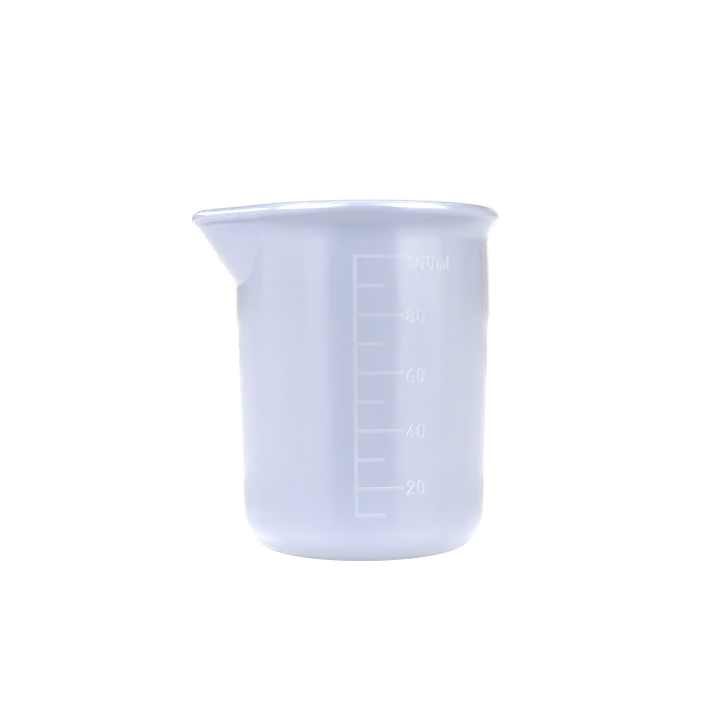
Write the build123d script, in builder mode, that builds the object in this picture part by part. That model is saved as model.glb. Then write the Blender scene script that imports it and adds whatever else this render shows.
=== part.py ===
"""Graduated pouring cup for mixing and casting resin, moulded in soft translucent silicone.

The cup stands on the XY plane with its axis on +Z. The pouring spout points to -X and the
graduated scale is raised on the wall facing -Y. Units are millimetres and degrees.
"""
import os
from math import acos, atan, cos, degrees, hypot, radians, sin, sqrt

from build123d import *

# Overall size
height = 70.0
overall_width = 64.0         # spout tip to the far side of the rim
rim_diameter = 56.8

# Wall and floor
wall = 2.0
floor = 2.5
foot_radius = 24.95          # outer wall, carried down to the standing plane
draft = 0.031                # outward lean of the wall, in radius per height
heel_radius = 6.8            # outside round between wall and floor
shoulder_height = 45.0       # where the straight wall starts to curve upright
neck_radius = 26.05          # outer wall where the lip starts to flare

# Rolled lip
bead_radius = 1.6
flare_radius = 5.8           # outside hollow under the bead
bead_overlap = 0.2           # how far the wall's skins run in under the bead's skin
throat_drop = 3.0            # from the neck down to where the bore starts to open

# Spout
spout_foot_height = 54.5     # where the keel leaves the wall
keel_slope = 0.641           # outward run of the keel, in radius per height
nose_round_top = 12.5        # outer round of the spout's nose, just under the bead
nose_round_foot = 24.0       # the same at the foot of the keel
bead_nose_round = 10.5       # bead centreline round the nose
side_overlap = 0.3           # how far the spout's sides run in under the wall's skin
section_shares = (0, 0.08, 0.22, 0.42, 0.66, 0.86, 1)

# Raised scale, laid out round the wall from its upright line
scale_bearing = 3.2          # the upright line, turned towards the spout from -Y
mark_relief = 0.3            # how far the marks stand out of the wall
mark_10ml_height = 9.95
mark_20ml_height = 15.05
height_per_ml = 0.555        # from 20 ml upwards
line_width = 0.75
mark_thickness = 0.6
short_mark = 5.5             # lengths along the wall, from the middle of the line
long_mark = 9.3

# Numerals
numeral_height = 2.8
numeral_width = 1.65
numeral_pitch = 2.15
numeral_stroke = 0.45
numeral_gap = 0.6            # between a long mark and its numeral
numeral_drops = {20: 0.0, 40: 0.2, 60: 0.6, 80: 0.3, 100: 1.2}
unit_letter_height = 1.9     # the small letter m
unit_letter_width = 2.1
unit_gap = 0.7

# Worked out from the sizes above
bead_path_radius = rim_diameter / 2 - bead_radius
bead_height = height - bead_radius
bead_nose_reach = overall_width - rim_diameter / 2 - bead_radius
lean = atan(draft)
shoulder_radius = foot_radius + draft * shoulder_height
lip_reach = flare_radius + bead_radius - bead_overlap
lip_run = neck_radius + flare_radius - bead_path_radius
neck_height = bead_height - sqrt(lip_reach**2 - lip_run**2)
throat_height = neck_height - throat_drop
mouth_radius = bead_path_radius - bead_radius + bead_overlap
keel_wall = wall * hypot(1, keel_slope)
channel_foot_height = spout_foot_height + (keel_wall - wall) / keel_slope + 0.6


def shoulder_arc():
    """Centre and radius of the arc that leaves the straight wall in line and ends at the neck."""
    rise = neck_height - shoulder_height
    run = neck_radius - shoulder_radius
    radius = (rise**2 + run**2) / (2 * (rise * draft - run)) * hypot(1, draft)
    return shoulder_radius - radius * cos(lean), shoulder_height + radius * sin(lean), radius


def wall_radius(z, inset=0.0):
    """Radius of the wall's skin between heel and lip, moved in from the outer skin by inset."""
    if z <= shoulder_height:
        return foot_radius - inset + draft * z
    centre_r, centre_z, radius = shoulder_arc()
    return centre_r - inset + sqrt(radius**2 - (min(z, neck_height) - centre_z) ** 2)


def lip_outer_radius(z):
    """Outer radius round the lip, the hollow under the bead included."""
    if z <= neck_height:
        return wall_radius(z)
    rise = min(z, bead_height - bead_radius / 2) - neck_height
    return neck_radius + flare_radius - sqrt(flare_radius**2 - rise**2)


def lip_inner_radius(z):
    """Inner radius round the lip, where the bore opens to the mouth."""
    if z <= throat_height:
        return wall_radius(z, wall)
    share = (z - throat_height) / (bead_height - throat_height)
    opening = mouth_radius - wall_radius(throat_height, wall)
    return wall_radius(throat_height, wall) + opening * share**2 * (3 - 2 * share)


def heel_arc(inset, base, corner):
    """Start, middle and end of the round between a flat at height base and the leaning wall."""
    centre_z = base + corner
    centre_r = foot_radius - inset + draft * centre_z - corner * hypot(1, draft)
    angles = (radians(-90), (radians(-90) - lean) / 2, -lean)
    return [(centre_r + corner * cos(a), centre_z + corner * sin(a)) for a in angles]


def skin_curve(inset, bottom, top):
    """Draws the wall's skin from bottom to top: a straight part, then the shoulder's arc."""
    corner = (wall_radius(shoulder_height, inset), shoulder_height)
    middle = (shoulder_height + top) / 2
    Line((wall_radius(bottom, inset), bottom), corner)
    ThreePointArc(corner, (wall_radius(middle, inset), middle), (wall_radius(top, inset), top))


# Outside shape of the round cup, solid, without its bead
with BuildPart() as round_outside:
    with BuildSketch(Plane.XZ):
        with BuildLine():
            heel = heel_arc(0, 0, heel_radius)
            turn = acos(lip_run / lip_reach)
            flare = [
                (neck_radius + flare_radius * (1 - cos(a)), neck_height + flare_radius * sin(a))
                for a in (0, turn / 2, turn)
            ]
            Line((0, 0), heel[0])
            ThreePointArc(*heel)
            skin_curve(0, heel[2][1], neck_height)
            ThreePointArc(*flare)
            Line(flare[2], (flare[2][0], bead_height))
            Line((flare[2][0], bead_height), (0, bead_height))
            Line((0, bead_height), (0, 0))
        make_face()
    revolve(axis=Axis.Z)

# Shape of the round hollow, run out above the rim
with BuildPart() as round_hollow:
    with BuildSketch(Plane.XZ):
        with BuildLine():
            heel = heel_arc(wall, floor, heel_radius - wall)
            throat = (wall_radius(throat_height, wall), throat_height)
            mouth = (mouth_radius, bead_height)
            Line((0, floor), heel[0])
            ThreePointArc(*heel)
            skin_curve(wall, heel[2][1], throat_height)
            Spline(throat, mouth, tangents=[(0, 1), (0, 1)])
            Line(mouth, (mouth_radius, height + 5))
            Line((mouth_radius, height + 5), (0, height + 5))
            Line((0, height + 5), (0, floor))
        make_face()
    revolve(axis=Axis.Z)


def keel_reach(z):
    """Distance of the keel's outer skin from the cup's axis."""
    return wall_radius(spout_foot_height) + keel_slope * (z - spout_foot_height)


def nose_round(z):
    """Outer round of the nose: broad at the foot of the keel, tight under the bead."""
    share = (z - spout_foot_height) / (bead_height - spout_foot_height)
    return nose_round_top + (nose_round_foot - nose_round_top) * (1 - share) ** 2


def spout_outline(back, reach, nose):
    """Draws the spout from above: two sides in line with the round wall, and a round nose."""
    centre = reach - nose
    turn = acos((back - nose) / centre)
    back_left = (-back * cos(turn), back * sin(turn))
    nose_left = (-centre - nose * cos(turn), nose * sin(turn))
    back_right = (back_left[0], -back_left[1])
    nose_right = (nose_left[0], -nose_left[1])
    Line(back_left, nose_left)
    ThreePointArc(nose_left, (-reach, 0), nose_right)
    Line(nose_right, back_right)
    Line(back_right, back_left)


# Outside shape of the spout, solid
with BuildPart() as spout_outside:
    for share in section_shares:
        z = spout_foot_height + 0.5 + share * (bead_height - spout_foot_height - 0.5)
        with BuildSketch(Plane.XY.offset(z)):
            with BuildLine():
                spout_outline(lip_outer_radius(z) - side_overlap, keel_reach(z), nose_round(z))
            make_face()
    loft()

# Shape of the channel inside the spout, run out above the rim
with BuildPart() as spout_channel:
    for share in section_shares:
        z = channel_foot_height + share * (bead_height - channel_foot_height)
        with BuildSketch(Plane.XY.offset(z)):
            with BuildLine():
                back = lip_inner_radius(z) - side_overlap
                spout_outline(back, keel_reach(z) - keel_wall, nose_round(z) - wall)
            make_face()
    loft()
    with BuildSketch(Plane.XY.offset(bead_height)):
        with BuildLine():
            back = mouth_radius - side_overlap
            spout_outline(back, keel_reach(bead_height) - keel_wall, nose_round_top - wall)
        make_face()
    extrude(amount=5)

# Bead rolled round the rim and the spout in one closed run
with BuildPart() as bead:
    with BuildLine(Plane.XY.offset(bead_height)) as bead_path:
        centre = bead_nose_reach - bead_nose_round
        turn = acos((bead_path_radius - bead_nose_round) / centre)
        side = (-bead_path_radius * cos(turn), bead_path_radius * sin(turn))
        nose = (-centre - bead_nose_round * cos(turn), bead_nose_round * sin(turn))
        ThreePointArc((side[0], -side[1]), (bead_path_radius, 0), side)
        Line(side, nose)
        ThreePointArc(nose, (-bead_nose_reach, 0), (nose[0], -nose[1]))
        Line((nose[0], -nose[1]), (side[0], -side[1]))
    with BuildSketch(Plane((bead_path_radius, 0, bead_height), x_dir=(1, 0, 0), z_dir=(0, 1, 0))):
        Circle(bead_radius)
    sweep(path=bead_path.wires()[0])

# The moulding itself
with BuildPart() as cup_body:
    add(round_outside.part)
    add(spout_outside.part)
    add(round_hollow.part, mode=Mode.SUBTRACT)
    add(spout_channel.part, mode=Mode.SUBTRACT)
    add(bead.part)


def mark_height(ml):
    """Height of a graduation mark's middle."""
    if ml == 10:
        return mark_10ml_height
    return mark_20ml_height + (ml - 20) * height_per_ml


def bearing_at(run, z):
    """Bearing from -Y, to the right, after a run along the wall from the middle of the line."""
    return degrees(run / wall_radius(z)) - scale_bearing


def upright_plane(bearing):
    """Plane through the cup's axis at a bearing: x runs outwards and y runs up."""
    a = radians(bearing)
    return Plane((0, 0, 0), x_dir=(sin(a), -cos(a), 0), z_dir=(-cos(a), -sin(a), 0))


def tangent_plane(bearing, z):
    """Plane that touches the wall at a bearing and height: x runs to the right and y runs up."""
    a = radians(bearing)
    r = wall_radius(z)
    return Plane((r * sin(a), -r * cos(a), z), x_dir=(cos(a), sin(a), 0), z_dir=(sin(a), -cos(a), 0))


# Upright line of the scale, from the lowest mark to the highest
with BuildPart() as scale_line:
    low = mark_height(10) - mark_thickness / 2
    high = mark_height(100) + mark_thickness / 2
    line_turn = degrees(line_width / wall_radius(shoulder_height))
    with BuildSketch(upright_plane(-scale_bearing - line_turn / 2)):
        with BuildLine():
            skin_curve(0, low, high)
            skin_curve(-mark_relief, low, high)
            Line((wall_radius(low), low), (wall_radius(low, -mark_relief), low))
            Line((wall_radius(high), high), (wall_radius(high, -mark_relief), high))
        make_face()
    revolve(axis=Axis.Z, revolution_arc=line_turn)

pieces = {"cup_body": cup_body, "scale_line": scale_line}

# Graduation marks, a long one for each 20 ml
for ml in range(10, 101, 10):
    z = mark_height(ml)
    low = z - mark_thickness / 2
    high = z + mark_thickness / 2
    start = bearing_at(line_width / 2, z)
    end = bearing_at(long_mark if ml % 20 == 0 else short_mark, z)
    with BuildPart() as mark:
        with BuildSketch(upright_plane(start)):
            with BuildLine():
                Polyline(
                    (wall_radius(low), low),
                    (wall_radius(low, -mark_relief), low),
                    (wall_radius(high, -mark_relief), high),
                    (wall_radius(high), high),
                    close=True,
                )
            make_face()
        revolve(axis=Axis.Z, revolution_arc=end - start)
    pieces[f"mark_{ml}ml"] = mark

# Thin layer on the wall that the numerals are cut out of
with BuildPart() as relief_layer:
    with BuildSketch(upright_plane(0)):
        with BuildLine():
            skin_curve(0, 10, neck_height - 0.5)
            skin_curve(-mark_relief, 10, neck_height - 0.5)
            top = neck_height - 0.5
            Line((wall_radius(10), 10), (wall_radius(10, -mark_relief), 10))
            Line((wall_radius(top), top), (wall_radius(top, -mark_relief), top))
        make_face()
    revolve(axis=Axis.Z, revolution_arc=60)


def stroke(start, end):
    """A straight stroke with round ends."""
    middle = ((start[0] + end[0]) / 2, (start[1] + end[1]) / 2)
    SlotCenterPoint(middle, end, numeral_stroke)


def bend(start, middle, end):
    """A curved stroke with round ends."""
    SlotArc(Edge.make_three_point_arc(start, middle, end), numeral_stroke)


def ring(x, y, r):
    """A round stroke that closes on itself."""
    bend((x - r, y), (x, y + r), (x + r, y))
    bend((x + r, y), (x, y - r), (x - r, y))


def draw_digit(digit, x):
    """Draws a digit's strokes, with its cell's middle at x."""
    w = numeral_width / 2 - numeral_stroke / 2
    h = numeral_height / 2 - numeral_stroke / 2
    top = h - w
    if digit == "0":
        stroke((x - w, -top), (x - w, top))
        bend((x - w, top), (x, h), (x + w, top))
        stroke((x + w, top), (x + w, -top))
        bend((x + w, -top), (x, -h), (x - w, -top))
    if digit == "1":
        stroke((x + w / 3, -h), (x + w / 3, h))
        stroke((x + w / 3, h), (x - w / 2, top))
    if digit == "2":
        bend((x - w, top), (x, h), (x + w, top))
        stroke((x + w, top), (x - w, -h))
        stroke((x - w, -h), (x + w, -h))
    if digit == "4":
        stroke((x + w / 2, -h), (x + w / 2, h))
        stroke((x + w / 2, h), (x - w, -h / 3))
        stroke((x - w, -h / 3), (x + w, -h / 3))
    if digit == "6":
        ring(x, -top, w)
        bend((x - w, -top), (x - w * 0.7, h * 0.4), (x + w * 0.4, h))
    if digit == "8":
        ring(x, -top, w)
        ring(x, h - w * 0.85, w * 0.85)


def draw_unit(x):
    """Draws the small letters m and l to the right of x."""
    base = (numeral_stroke - numeral_height) / 2
    arch = (unit_letter_width - numeral_stroke) / 4
    spring = base + unit_letter_height - numeral_stroke - arch
    left = x + numeral_stroke / 2
    stroke((left, base), (left, spring + arch))
    for foot in (left, left + 2 * arch):
        bend((foot, spring), (foot + arch, spring + arch), (foot + 2 * arch, spring))
        stroke((foot + 2 * arch, spring), (foot + 2 * arch, base))
    stem = left + 4 * arch + numeral_stroke * 1.9
    stroke((stem, base), (stem, base + numeral_height - numeral_stroke))


def numeral_middle(ml):
    """Run along the wall to the middle of a numeral, and the numeral's height."""
    digits = len(str(ml))
    half = ((digits - 1) * numeral_pitch + numeral_width) / 2
    return long_mark + numeral_gap + half, mark_height(ml) - numeral_drops[ml]


for ml in range(20, 101, 20):
    run, z = numeral_middle(ml)
    text = str(ml)
    with BuildPart() as numeral:
        for i, digit in enumerate(text):
            with BuildSketch(tangent_plane(bearing_at(run, z), z)):
                draw_digit(digit, (i - (len(text) - 1) / 2) * numeral_pitch)
            extrude(amount=1.5, both=True)
        add(relief_layer.part, mode=Mode.INTERSECT)
    pieces[f"numeral_{ml}"] = numeral

# Unit after the highest numeral
run, z = numeral_middle(100)
run += numeral_pitch + numeral_width / 2 + unit_gap
with BuildPart() as unit_ml:
    with BuildSketch(tangent_plane(bearing_at(run + unit_letter_width / 2, z), z)):
        draw_unit(-unit_letter_width / 2)
    extrude(amount=1.5, both=True)
    add(relief_layer.part, mode=Mode.INTERSECT)
pieces["unit_ml"] = unit_ml

os.makedirs("parts", exist_ok=True)
for name, piece in pieces.items():
    piece.part.label = name
    export_step(piece.part, f"parts/{name}.step")
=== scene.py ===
"""Looks of the graduated silicone pouring cup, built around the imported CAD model.

Sizes are in millimetres while the surface is worked out, and in metres once it is a mesh.
A point of the cup is given by its bearing alpha from the spout, from 0 to pi, by the side of
the spout it is on (sign, 1 or -1) and by its radius or height.
"""
from math import acos, atan2, cos, dist, exp, hypot, pi, radians, sin, sqrt

import bpy
from mathutils import Euler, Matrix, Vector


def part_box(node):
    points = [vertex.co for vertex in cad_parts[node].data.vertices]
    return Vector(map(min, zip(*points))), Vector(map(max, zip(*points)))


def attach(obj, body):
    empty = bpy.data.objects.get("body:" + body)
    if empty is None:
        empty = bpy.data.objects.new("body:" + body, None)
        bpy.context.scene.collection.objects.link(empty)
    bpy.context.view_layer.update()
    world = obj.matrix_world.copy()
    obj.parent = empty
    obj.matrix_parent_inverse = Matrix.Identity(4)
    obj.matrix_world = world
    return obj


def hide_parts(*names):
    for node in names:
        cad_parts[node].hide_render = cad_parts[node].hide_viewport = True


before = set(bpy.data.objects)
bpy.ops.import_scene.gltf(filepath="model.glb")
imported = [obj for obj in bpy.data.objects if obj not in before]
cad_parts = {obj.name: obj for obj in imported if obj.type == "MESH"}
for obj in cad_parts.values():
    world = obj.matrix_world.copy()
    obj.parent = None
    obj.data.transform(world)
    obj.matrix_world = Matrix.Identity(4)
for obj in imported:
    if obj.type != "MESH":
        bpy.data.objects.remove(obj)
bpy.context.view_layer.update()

MM = 0.001

# ---------------------------------------------------------------- sizes of the cup
low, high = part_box("cup_body")
HEIGHT = high.z / MM
RIM = high.x / MM                      # outside of the rim, away from the spout
REACH = -low.x / MM                    # outside of the spout's tip
WALL, FLOOR = 2.0, 2.5
FOOT_RADIUS, DRAFT, HEEL = 24.95, 0.031, 6.8
LEAN = atan2(DRAFT, 1)                 # the wall's outward lean as an angle
SHOULDER_Z, NECK_RADIUS = 45.0, 26.05
BEAD, FLARE = 1.6, 5.8
SPOUT_FOOT_Z, KEEL_SLOPE = 54.5, 0.641
NOSE_TOP, NOSE_FOOT, BEAD_NOSE = 12.5, 24.0, 10.5
SIDE_OVERLAP = 0.3                     # how far the spout's sides run in under the wall's skin
PATH = RIM - BEAD                      # radius of the bead's centreline
BEAD_Z = HEIGHT - BEAD
TIP = REACH - BEAD
NECK_Z = BEAD_Z - sqrt((FLARE + BEAD) ** 2 - (NECK_RADIUS + FLARE - PATH) ** 2)
THROAT_Z, MOUTH_RADIUS = NECK_Z - 3.0, PATH - BEAD
FLARE_SHARE = 0.75                     # how much of the flare's quarter round is drawn

# How softly the spout meets the wall: at its sides, what its nose adds, and how wide that is
CREASE, NOSE_CREASE, NOSE_CREASE_WIDTH = 0.10, 0.8, 0.2
# Below its foot the spout's outline sinks into the wall this fast, from this bearing
SINK, SINK_FROM = 20, 0.3

# ---------------------------------------------------------------- how the surface is divided
OUTER_TOP, INNER_TOP = 66.1, 65.6      # where the skins end and the blends into the bead start
CLOSE_ROWS_Z = 50                      # above this height the rows are closer together
SLOPE_STEP = 0.05                      # rise over which a skin's slope is taken
BLEND_ROWS, BEAD_ROWS = 8, 30
BORE_PULL = 0.6                        # how hard the bead's end of the inner blend pulls
# Where the blends meet the bead, in degrees round its section, and what the spout adds
BEAD_FROM, BEAD_FROM_SPOUT = -46, -12
BEAD_TO, BEAD_TO_SPOUT = 188, 22
SPOUT_WIDTH = 0.75                     # bearing over which the spout's share fades


def wall_radius(z, inset=0.0):
    """Skin of the round wall between heel and neck."""
    shoulder = FOOT_RADIUS + DRAFT * SHOULDER_Z
    if z <= SHOULDER_Z:
        return FOOT_RADIUS + DRAFT * z - inset
    rise, run = NECK_Z - SHOULDER_Z, NECK_RADIUS - shoulder
    bend = (rise**2 + run**2) / (2 * (rise * DRAFT - run)) * hypot(1, DRAFT)
    centre_r, centre_z = shoulder - bend * cos(LEAN), SHOULDER_Z + bend * sin(LEAN)
    return centre_r - inset + sqrt(bend**2 - (min(z, NECK_Z) - centre_z) ** 2)


def outer_radius(z):
    """Outer skin of the round lip, up to the bead."""
    if z <= NECK_Z:
        return wall_radius(z)
    rise = min(z - NECK_Z, FLARE * FLARE_SHARE)
    return NECK_RADIUS + FLARE - sqrt(FLARE**2 - rise**2)


def inner_radius(z):
    """Inner skin of the round lip, up to the mouth."""
    if z <= THROAT_Z:
        return wall_radius(z, WALL)
    share = min((z - THROAT_Z) / (BEAD_Z - THROAT_Z), 1.0)
    base = wall_radius(THROAT_Z, WALL)
    return base + (MOUTH_RADIUS - base) * share**2 * (3 - 2 * share)


def soft_max(a, b, width):
    """The larger of two radii, rounded off where they are within width of each other."""
    h = max(width - abs(a - b), 0.0) / width
    return max(a, b) + h * h * width / 4


def teardrop(alpha, back, reach, nose):
    """Radius and normal angle, at alpha, of the outline round a circle of radius back and a
    nose of radius nose that reaches out to reach."""
    if reach <= back:
        return reach - SINK * max(alpha - SINK_FROM, 0.0) ** 2, alpha
    centre = reach - nose
    turn = acos(min(max((back - nose) / centre, -1.0), 1.0))
    if alpha >= turn:
        # past the tangent the outline drops away inside the circle
        return back * (1 - 0.5 * (alpha - turn) ** 2), alpha
    nose_end = atan2(nose * sin(turn), centre + nose * cos(turn))
    if alpha >= nose_end:
        return back / cos(turn - alpha), turn
    r = centre * cos(alpha) + sqrt(max(nose**2 - (centre * sin(alpha)) ** 2, 0.0))
    return r, atan2(r * sin(alpha), r * cos(alpha) - centre)


def keel(z):
    """Distance of the spout's outermost line from the cup's axis."""
    return wall_radius(SPOUT_FOOT_Z) + KEEL_SLOPE * (z - SPOUT_FOOT_Z)


def nose_radius(z):
    """Round of the spout's nose: broad at its foot, smaller under the bead."""
    share = max(z - SPOUT_FOOT_Z, 0.0) / (BEAD_Z - SPOUT_FOOT_Z)
    return NOSE_TOP + (NOSE_FOOT - NOSE_TOP) * (1 - share) ** 2


def skin_radius(alpha, z, inside):
    """Distance of the cup's skin from its axis at a bearing and a height."""
    crease = CREASE + NOSE_CREASE * exp(-((alpha / NOSE_CREASE_WIDTH) ** 2))
    if inside:
        round_skin = inner_radius(z)
        reach, nose = keel(z) - WALL * hypot(1, KEEL_SLOPE), nose_radius(z) - WALL
    else:
        round_skin = outer_radius(z)
        reach, nose = keel(z), nose_radius(z)
    spout_skin, _ = teardrop(alpha, round_skin - SIDE_OVERLAP, reach, nose)
    return soft_max(round_skin, spout_skin, crease)


# ---------------------------------------------------------------- one closed surface
def spread(start, stop, count):
    return [start + (stop - start) * i / count for i in range(count + 1)]


def bearings():
    """Bearings round the cup, close together at the spout's nose and creases."""
    half = spread(0, 0.30, 34)[:-1] + spread(0.30, 0.95, 44)[:-1] + spread(0.95, pi, 54)
    return half + [-a for a in reversed(half[1:-1])]


def polar_point(alpha, sign, r, z):
    return (-r * cos(alpha), sign * r * sin(alpha), z)


def skin_point(alpha, sign, z, inside):
    return polar_point(alpha, sign, skin_radius(alpha, z, inside), z)


def bead_point(alpha, sign, psi):
    """Point and upward run of the bead's skin, psi round its section from the outermost line."""
    r, normal = teardrop(alpha, PATH, TIP, BEAD_NOSE)
    if r < PATH:
        r, normal = PATH, alpha
    x, y = -r * cos(alpha), sign * r * sin(alpha)
    nx, ny = -cos(normal), sign * sin(normal)
    reach = BEAD * cos(psi)
    point = (x + reach * nx, y + reach * ny, BEAD_Z + BEAD * sin(psi))
    along = (-sin(psi) * nx, -sin(psi) * ny, cos(psi))
    return point, along


def skin_run(alpha, sign, z, step, inside, length):
    """Direction of the skin at a height, coming from step below it, drawn to a length."""
    here = skin_point(alpha, sign, z, inside)
    before = skin_point(alpha, sign, z - step, inside)
    run = [(a - b) / abs(step) for a, b in zip(here, before)]
    scale = length / sqrt(sum(c * c for c in run))
    return [c * scale for c in run]


def hermite(p, u, q, v, t):
    """Point at t of the curve from p, leaving along u, to q, arriving along v."""
    a, b = 2 * t**3 - 3 * t**2 + 1, t**3 - 2 * t**2 + t
    c, d = -2 * t**3 + 3 * t**2, t**3 - t**2
    return tuple(a * p[i] + b * u[i] + c * q[i] + d * v[i] for i in range(3))


def blend(p, u, q, v):
    return [hermite(p, u, q, v, t) for t in spread(0, 1, BLEND_ROWS)[1:-1]]


def column(bearing):
    """Points of one section of the moulding, from the middle of its base round to the floor."""
    alpha, sign = abs(bearing), (1 if bearing >= 0 else -1)
    near_spout = exp(-((alpha / SPOUT_WIDTH) ** 4))    # 1 at the spout, 0 round the rest
    psi_from = radians(BEAD_FROM + BEAD_FROM_SPOUT * near_spout)
    psi_to = radians(BEAD_TO + BEAD_TO_SPOUT * near_spout)
    # underside, heel and outer wall
    heel_r = FOOT_RADIUS + DRAFT * HEEL - HEEL * hypot(1, DRAFT)
    points = [polar_point(alpha, sign, r, 0.0) for r in spread(0, heel_r, 8)[1:-1]]
    for a in spread(-pi / 2, -LEAN, 16)[:-1]:
        points.append(polar_point(alpha, sign, heel_r + HEEL * cos(a), HEEL + HEEL * sin(a)))
    wall_foot = HEEL * (1 - sin(LEAN))
    for z in spread(wall_foot, CLOSE_ROWS_Z, 30)[:-1] + spread(CLOSE_ROWS_Z, OUTER_TOP, 46):
        points.append(skin_point(alpha, sign, z, False))
    # up under the bead
    start = points[-1]
    end, along = bead_point(alpha, sign, psi_from)
    size = dist(start, end)
    rise = skin_run(alpha, sign, OUTER_TOP, SLOPE_STEP, False, size)
    points += blend(start, rise, end, [c * size for c in along])
    # round the bead
    points += [bead_point(alpha, sign, psi)[0] for psi in spread(psi_from, psi_to, BEAD_ROWS)]
    # down into the bore
    start, along = bead_point(alpha, sign, psi_to)
    end = skin_point(alpha, sign, INNER_TOP, True)
    size = dist(start, end)
    fall = skin_run(alpha, sign, INNER_TOP, -SLOPE_STEP, True, size)
    points += blend(start, [c * size * BORE_PULL for c in along], end, fall)
    # inner wall, heel and floor
    corner = HEEL - WALL
    heel_z = FLOOR + corner
    heel_r = FOOT_RADIUS - WALL + DRAFT * heel_z - corner * hypot(1, DRAFT)
    wall_foot = heel_z - corner * sin(LEAN)
    for z in spread(INNER_TOP, CLOSE_ROWS_Z, 34)[:-1] + spread(CLOSE_ROWS_Z, wall_foot, 22)[:-1]:
        points.append(skin_point(alpha, sign, z, True))
    for a in spread(-LEAN, -pi / 2, 12):
        points.append(polar_point(alpha, sign, heel_r + corner * cos(a), heel_z + corner * sin(a)))
    points += [polar_point(alpha, sign, r, FLOOR) for r in spread(heel_r, 0, 7)[1:-1]]
    return points


def build_shell():
    columns = [column(b) for b in bearings()]
    rows = len(columns[0])
    verts = [tuple(c * MM for c in p) for col in columns for p in col]
    faces = []
    for i in range(len(columns)):
        j = (i + 1) % len(columns)
        for k in range(rows - 1):
            faces.append((i * rows + k, i * rows + k + 1, j * rows + k + 1, j * rows + k))
    base, bottom = len(verts), len(verts) + 1
    verts += [(0, 0, 0), (0, 0, FLOOR * MM)]
    for i in range(len(columns)):
        j = (i + 1) % len(columns)
        faces.append((base, i * rows, j * rows))
        faces.append((bottom, j * rows + rows - 1, i * rows + rows - 1))
    mesh = bpy.data.meshes.new("cup_shell")
    mesh.from_pydata(verts, [], faces)
    mesh.validate()
    mesh.polygons.foreach_set("use_smooth", [True] * len(mesh.polygons))
    mesh.update()
    shell = bpy.data.objects.new("cup_shell", mesh)
    bpy.context.scene.collection.objects.link(shell)
    return shell


# ---------------------------------------------------------------- material nodes
def grey(value):
    return (value, value, value)


def new_material(name, sockets):
    """Material with one Principled shader, and the values that are the same all over it."""
    material = bpy.data.materials.new(name)
    material.use_nodes = True
    tree = material.node_tree
    tree.nodes.clear()
    shader = tree.nodes.new("ShaderNodeBsdfPrincipled")
    output = tree.nodes.new("ShaderNodeOutputMaterial")
    tree.links.new(shader.outputs["BSDF"], output.inputs["Surface"])
    for socket, value in sockets.items():
        shader.inputs[socket].default_value = value
    return material, tree, shader


def feed(tree, socket, value):
    """Links an output to a socket, or sets the socket's own value."""
    if isinstance(value, bpy.types.NodeSocket):
        tree.links.new(value, socket)
    else:
        socket.default_value = value


def position(tree):
    return tree.nodes.new("ShaderNodeTexCoord").outputs["Object"]


def axes(tree, vector):
    node = tree.nodes.new("ShaderNodeSeparateXYZ")
    tree.links.new(vector, node.inputs["Vector"])
    return node.outputs


def noise(tree, scale, detail=2.0, roughness=0.5, stretch=(1, 1, 1)):
    mapping = tree.nodes.new("ShaderNodeMapping")
    mapping.inputs["Scale"].default_value = stretch
    texture = tree.nodes.new("ShaderNodeTexNoise")
    texture.inputs["Scale"].default_value = scale
    texture.inputs["Detail"].default_value = detail
    texture.inputs["Roughness"].default_value = roughness
    tree.links.new(position(tree), mapping.inputs["Vector"])
    tree.links.new(mapping.outputs["Vector"], texture.inputs["Vector"])
    return texture.outputs["Fac"]


def ramp(tree, value, stops):
    node = tree.nodes.new("ShaderNodeValToRGB")
    elements = node.color_ramp.elements
    while len(elements) < len(stops):
        elements.new(0.5)
    for element, (place, colour) in zip(elements, stops):
        element.position = place
        element.color = (*colour, 1)
    tree.links.new(value, node.inputs["Fac"])
    return node.outputs["Color"]


def bump(tree, shader, height, strength, distance):
    node = tree.nodes.new("ShaderNodeBump")
    node.inputs["Strength"].default_value = strength
    node.inputs["Distance"].default_value = distance
    tree.links.new(height, node.inputs["Height"])
    tree.links.new(node.outputs["Normal"], shader.inputs["Normal"])


def arithmetic(tree, operation, *values):
    node = tree.nodes.new("ShaderNodeMath")
    node.operation = operation
    for socket, value in zip(node.inputs, values):
        feed(tree, socket, value)
    return node.outputs["Value"]


def vector_math(tree, operation, *values):
    node = tree.nodes.new("ShaderNodeVectorMath")
    node.operation = operation
    for socket, value in zip(node.inputs, values):
        feed(tree, socket, value)
    return node.outputs["Value" if operation in ("DOT_PRODUCT", "LENGTH") else "Vector"]


def mix(tree, kind, factor, a, b, blend_type="MIX"):
    node = tree.nodes.new("ShaderNodeMix")
    node.data_type, node.blend_type = kind, blend_type
    for name, value in (("Factor", factor), ("A", a), ("B", b)):
        feed(tree, node.inputs[name], value)
    return node.outputs["Result"]


def camera_ray(tree):
    return tree.nodes.new("ShaderNodeLightPath").outputs["Is Camera Ray"]


# ---------------------------------------------------------------- materials
# painted light: the base colour is lifted, lighter and bluer, in the shaded band under the bead
PAINTED_LIP_LIFT = (1.03, 1.05, 1.10)
LIP_BAND = (0.0641, 0.0646, 0.0668, 0.0674)    # heights where the painted light on the lip starts and ends
RELIEF_SIDE_PAINTED_LIGHT = (0.72, 0.77, 0.88, 1)            # painted light on the marks' side faces, which lifts their shade


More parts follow.
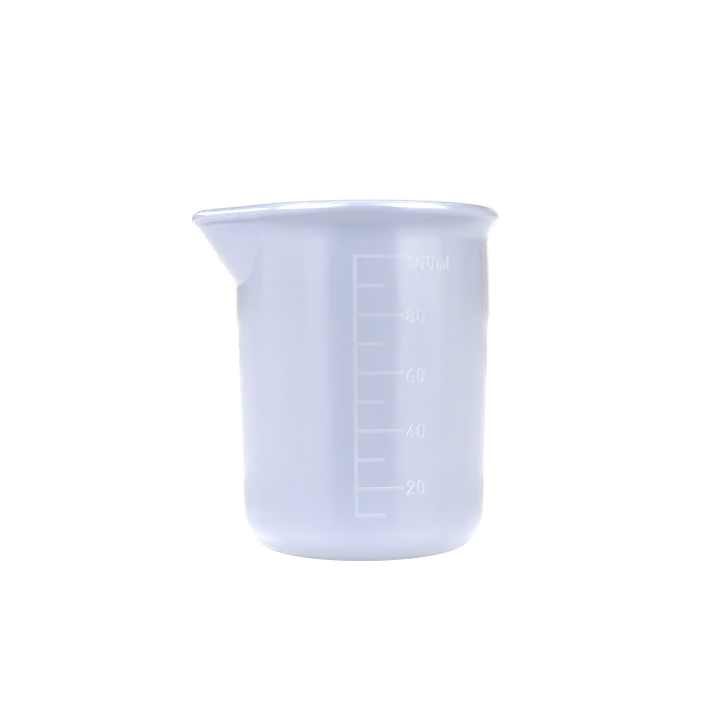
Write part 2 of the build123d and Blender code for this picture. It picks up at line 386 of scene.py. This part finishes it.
def silicone():
    """Milky translucent moulding with a cloudy tint, and painted light that makes the shaded band
    under the bead faintly lighter and bluer.
    """
    material, tree, shader = new_material("milky_silicone", {
        "IOR": 1.5, "Transmission Weight": 0.15,
        "Subsurface Weight": 1.0, "Subsurface Radius": (1.0, 0.8, 0.62),
        "Subsurface Scale": 0.0018,
        "Coat Weight": 1.0, "Coat Roughness": 0.18, "Coat IOR": 1.7,
        "Sheen Weight": 0.12, "Sheen Roughness": 0.35, "Sheen Tint": (1.0, 0.93, 0.93, 1),
    })
    cloud = noise(tree, 45, 3, 0.55, (1, 1, 0.35))
    tint = ramp(tree, cloud, [(0.3, (0.447, 0.487, 0.627)), (0.7, (0.472, 0.512, 0.647))])
    plain = grey(1)
    # painted light on the lip: lifts the shade in the band under the bead
    stops = list(zip(LIP_BAND, (plain, PAINTED_LIP_LIFT, PAINTED_LIP_LIFT, plain)))
    lip = ramp(tree, axes(tree, position(tree))["Z"], stops)
    tint_and_painted_lift = mix(tree, "RGBA", 1.0, tint, lip, "MULTIPLY")
    tree.links.new(tint_and_painted_lift, shader.inputs["Base Color"])
    haze = noise(tree, 120, 4, 0.6)
    tree.links.new(ramp(tree, haze, [(0.25, grey(0.17)), (0.8, grey(0.24))]),
                   shader.inputs["Roughness"])
    bump(tree, shader, noise(tree, 90, 3, 0.5, (1, 1, 0.5)), 0.15, 0.0004)
    return material


def raised_silicone():
    """The same silicone where the scale stands out of the wall: more matt, with painted light on
    the side faces of the relief.
    """
    material, tree, shader = new_material("raised_silicone", {
        "IOR": 1.5,
        "Coat Weight": 0.5, "Coat Roughness": 0.25, "Coat IOR": 1.7,
        "Sheen Weight": 0.25, "Sheen Roughness": 0.4,
    })
    cloud = noise(tree, 300, 2, 0.5)
    tint = ramp(tree, cloud, [(0.3, (0.38, 0.415, 0.515)), (0.7, (0.40, 0.435, 0.535))])
    # painted light: the relief's side faces get a paler colour that lifts the shade they fall in
    level = vector_math(tree, "MULTIPLY", position(tree), (1, 1, 0))
    outward = vector_math(tree, "NORMALIZE", level)
    surface = tree.nodes.new("ShaderNodeNewGeometry")
    facing = vector_math(tree, "DOT_PRODUCT", outward, surface.outputs["True Normal"])
    side_painted_light = ramp(tree, facing, [(0.3, grey(1)), (0.8, grey(0))])
    tree.links.new(mix(tree, "RGBA", side_painted_light, tint, RELIEF_SIDE_PAINTED_LIGHT), shader.inputs["Base Color"])
    rough = ramp(tree, noise(tree, 700, 3, 0.6), [(0.3, grey(0.32)), (0.7, grey(0.44))])
    tree.links.new(rough, shader.inputs["Roughness"])
    bump(tree, shader, noise(tree, 900, 2, 0.5), 0.3, 0.0001)
    return material


NEAR_GLOW, SIDE_GLOW = 1.0, 0.6
FLOOR_WHITE = 1.1                              # what the camera sees of the floor


def floor_material():
    """Floor that is plain white to the camera. To every other ray it glows in a ring round the
    cup's foot and at its sides, and is dim at the front."""
    material, tree, shader = new_material("pale_floor", {
        "Roughness": 0.18, "Emission Color": (1, 1, 1, 1),
    })
    tint = ramp(tree, noise(tree, 3, 2), [(0.0, grey(0.28)), (1.0, grey(0.30))])
    tree.links.new(tint, shader.inputs["Base Color"])
    place = position(tree)
    away = vector_math(tree, "LENGTH", place)
    near = ramp(tree, away, [
        (0.013, grey(0)), (0.027, grey(NEAR_GLOW)),
        (0.045, grey(0.75 * NEAR_GLOW)), (0.10, grey(0)),
    ])
    far = ramp(tree, away, [(0.07, grey(0)), (0.13, grey(SIDE_GLOW))])
    # bearing from the front, -Y, as a share of half a turn
    split = axes(tree, place)
    side = arithmetic(tree, "ABSOLUTE", split["X"])
    turn = arithmetic(tree, "ARCTAN2", side, arithmetic(tree, "MULTIPLY", split["Y"], -1.0))
    share = arithmetic(tree, "MULTIPLY", turn, 1 / pi)
    wings = ramp(tree, share, [(0.12, grey(0)), (0.18, grey(1))])
    glow = arithmetic(tree, "MULTIPLY_ADD", far, wings, near)
    seen = mix(tree, "FLOAT", camera_ray(tree), glow, FLOOR_WHITE)
    tree.links.new(seen, shader.inputs["Emission Strength"])
    return material


# ---------------------------------------------------------------- pieces
shell = build_shell()
shell.data.materials.append(silicone())
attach(shell, "root")
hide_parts("cup_body")

marks = raised_silicone()
for name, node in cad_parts.items():
    if name != "cup_body":
        node.data.materials.clear()
        node.data.materials.append(marks)
        # without this a pale halo shows on the wall round each mark
        node.visible_shadow = node.visible_diffuse = False

# ---------------------------------------------------------------- floor, light and camera
bpy.ops.mesh.primitive_circle_add(
    vertices=96, radius=6.0, fill_type="NGON", location=(0, 0, -0.0001))
ground = bpy.context.object
ground.name = "floor"
ground.data.materials.append(floor_material())

ROOM = 0.12                            # strength of the white room for all but the camera

world = bpy.data.worlds.new("studio")
bpy.context.scene.world = world
world.use_nodes = True
background = world.node_tree.nodes["Background"]
background.inputs["Color"].default_value = (1, 1, 1, 1)
strength = arithmetic(world.node_tree, "MULTIPLY_ADD", camera_ray(world.node_tree), 1 - ROOM, ROOM)
world.node_tree.links.new(strength, background.inputs["Strength"])

WHITE, WARM = (1, 1, 1), (1.0, 0.935, 0.85)
LAMP_POWER = 10                        # watts per square metre of lamp at a brightness of 1
CUP_MIDDLE = 0.04                      # height the lamps face
SWEEP_LIFT, SWEEP_HEIGHT = 10, 0.4


def softbox(name, bearing, lift, width, height, brightness, colour=WHITE):
    """Soft light one metre away, at a bearing from the front (-Y), positive towards +X,
    and lifted by an angle, facing the cup."""
    light = bpy.data.lights.new(name, "AREA")
    light.shape = "RECTANGLE"
    light.size, light.size_y = width, height
    light.energy = LAMP_POWER * width * height * brightness
    light.color = colour
    lamp = bpy.data.objects.new(name, light)
    a, e = radians(bearing), radians(lift)
    lamp.location = (sin(a) * cos(e), -cos(a) * cos(e), CUP_MIDDLE + sin(e))
    lamp.rotation_euler = (pi / 2 - e, 0, a)
    bpy.context.scene.collection.objects.link(lamp)
    return lamp


# a sweep of lamps round the cup with a gap at the front: bearing, width, left, right
for bearing, width, left, right in (
    (35, 0.14, 0.36, 0.55),
    (46, 0.25, 0.36, 0.55),
    (64, 0.35, 0.24, 0.48),
    (88, 0.45, 0.24, 0.22),
    (118, 0.55, 0.10, 0.11),
    (150, 0.50, 0.11, 0.14),
):
    softbox(f"sweep_left_{bearing}", -bearing, SWEEP_LIFT, width, SWEEP_HEIGHT, left, WARM)
    softbox(f"sweep_right_{bearing}", bearing, SWEEP_LIFT, width, SWEEP_HEIGHT, right, WARM)
softbox("key_left", -50, 40, 0.8, 0.8, 1.85)
softbox("key_right", 50, 40, 0.8, 0.8, 1.6)
softbox("top", 180, 75, 1.2, 0.8, 0.3)
softbox("rim_left", -115, 30, 0.7, 0.12, 3.0)
backdrop = softbox("backdrop", 180, 8, 0.9, 0.5, 0.15)
backdrop.visible_diffuse = backdrop.visible_transmission = False    # seen in the gloss alone

CAMERA_AWAY, CAMERA_Z = 0.272, 0.0478
CAMERA_DOWN, CAMERA_ROLL, CAMERA_TURN = 1.87, 0.3, 0.19    # degrees

camera_data = bpy.data.cameras.new("camera")
camera_data.lens = 64.8
camera_data.sensor_width = 36.0
camera_data.sensor_fit = "AUTO"
camera_data.clip_start = 0.01
camera = bpy.data.objects.new("camera", camera_data)
camera.location = (0, -CAMERA_AWAY, CAMERA_Z)
camera.rotation_euler = Euler(
    (radians(90 - CAMERA_DOWN), radians(CAMERA_ROLL), radians(CAMERA_TURN)), "XYZ")
bpy.context.scene.collection.objects.link(camera)
bpy.context.scene.camera = camera
bpy.context.scene.view_settings.view_transform = "Standard"
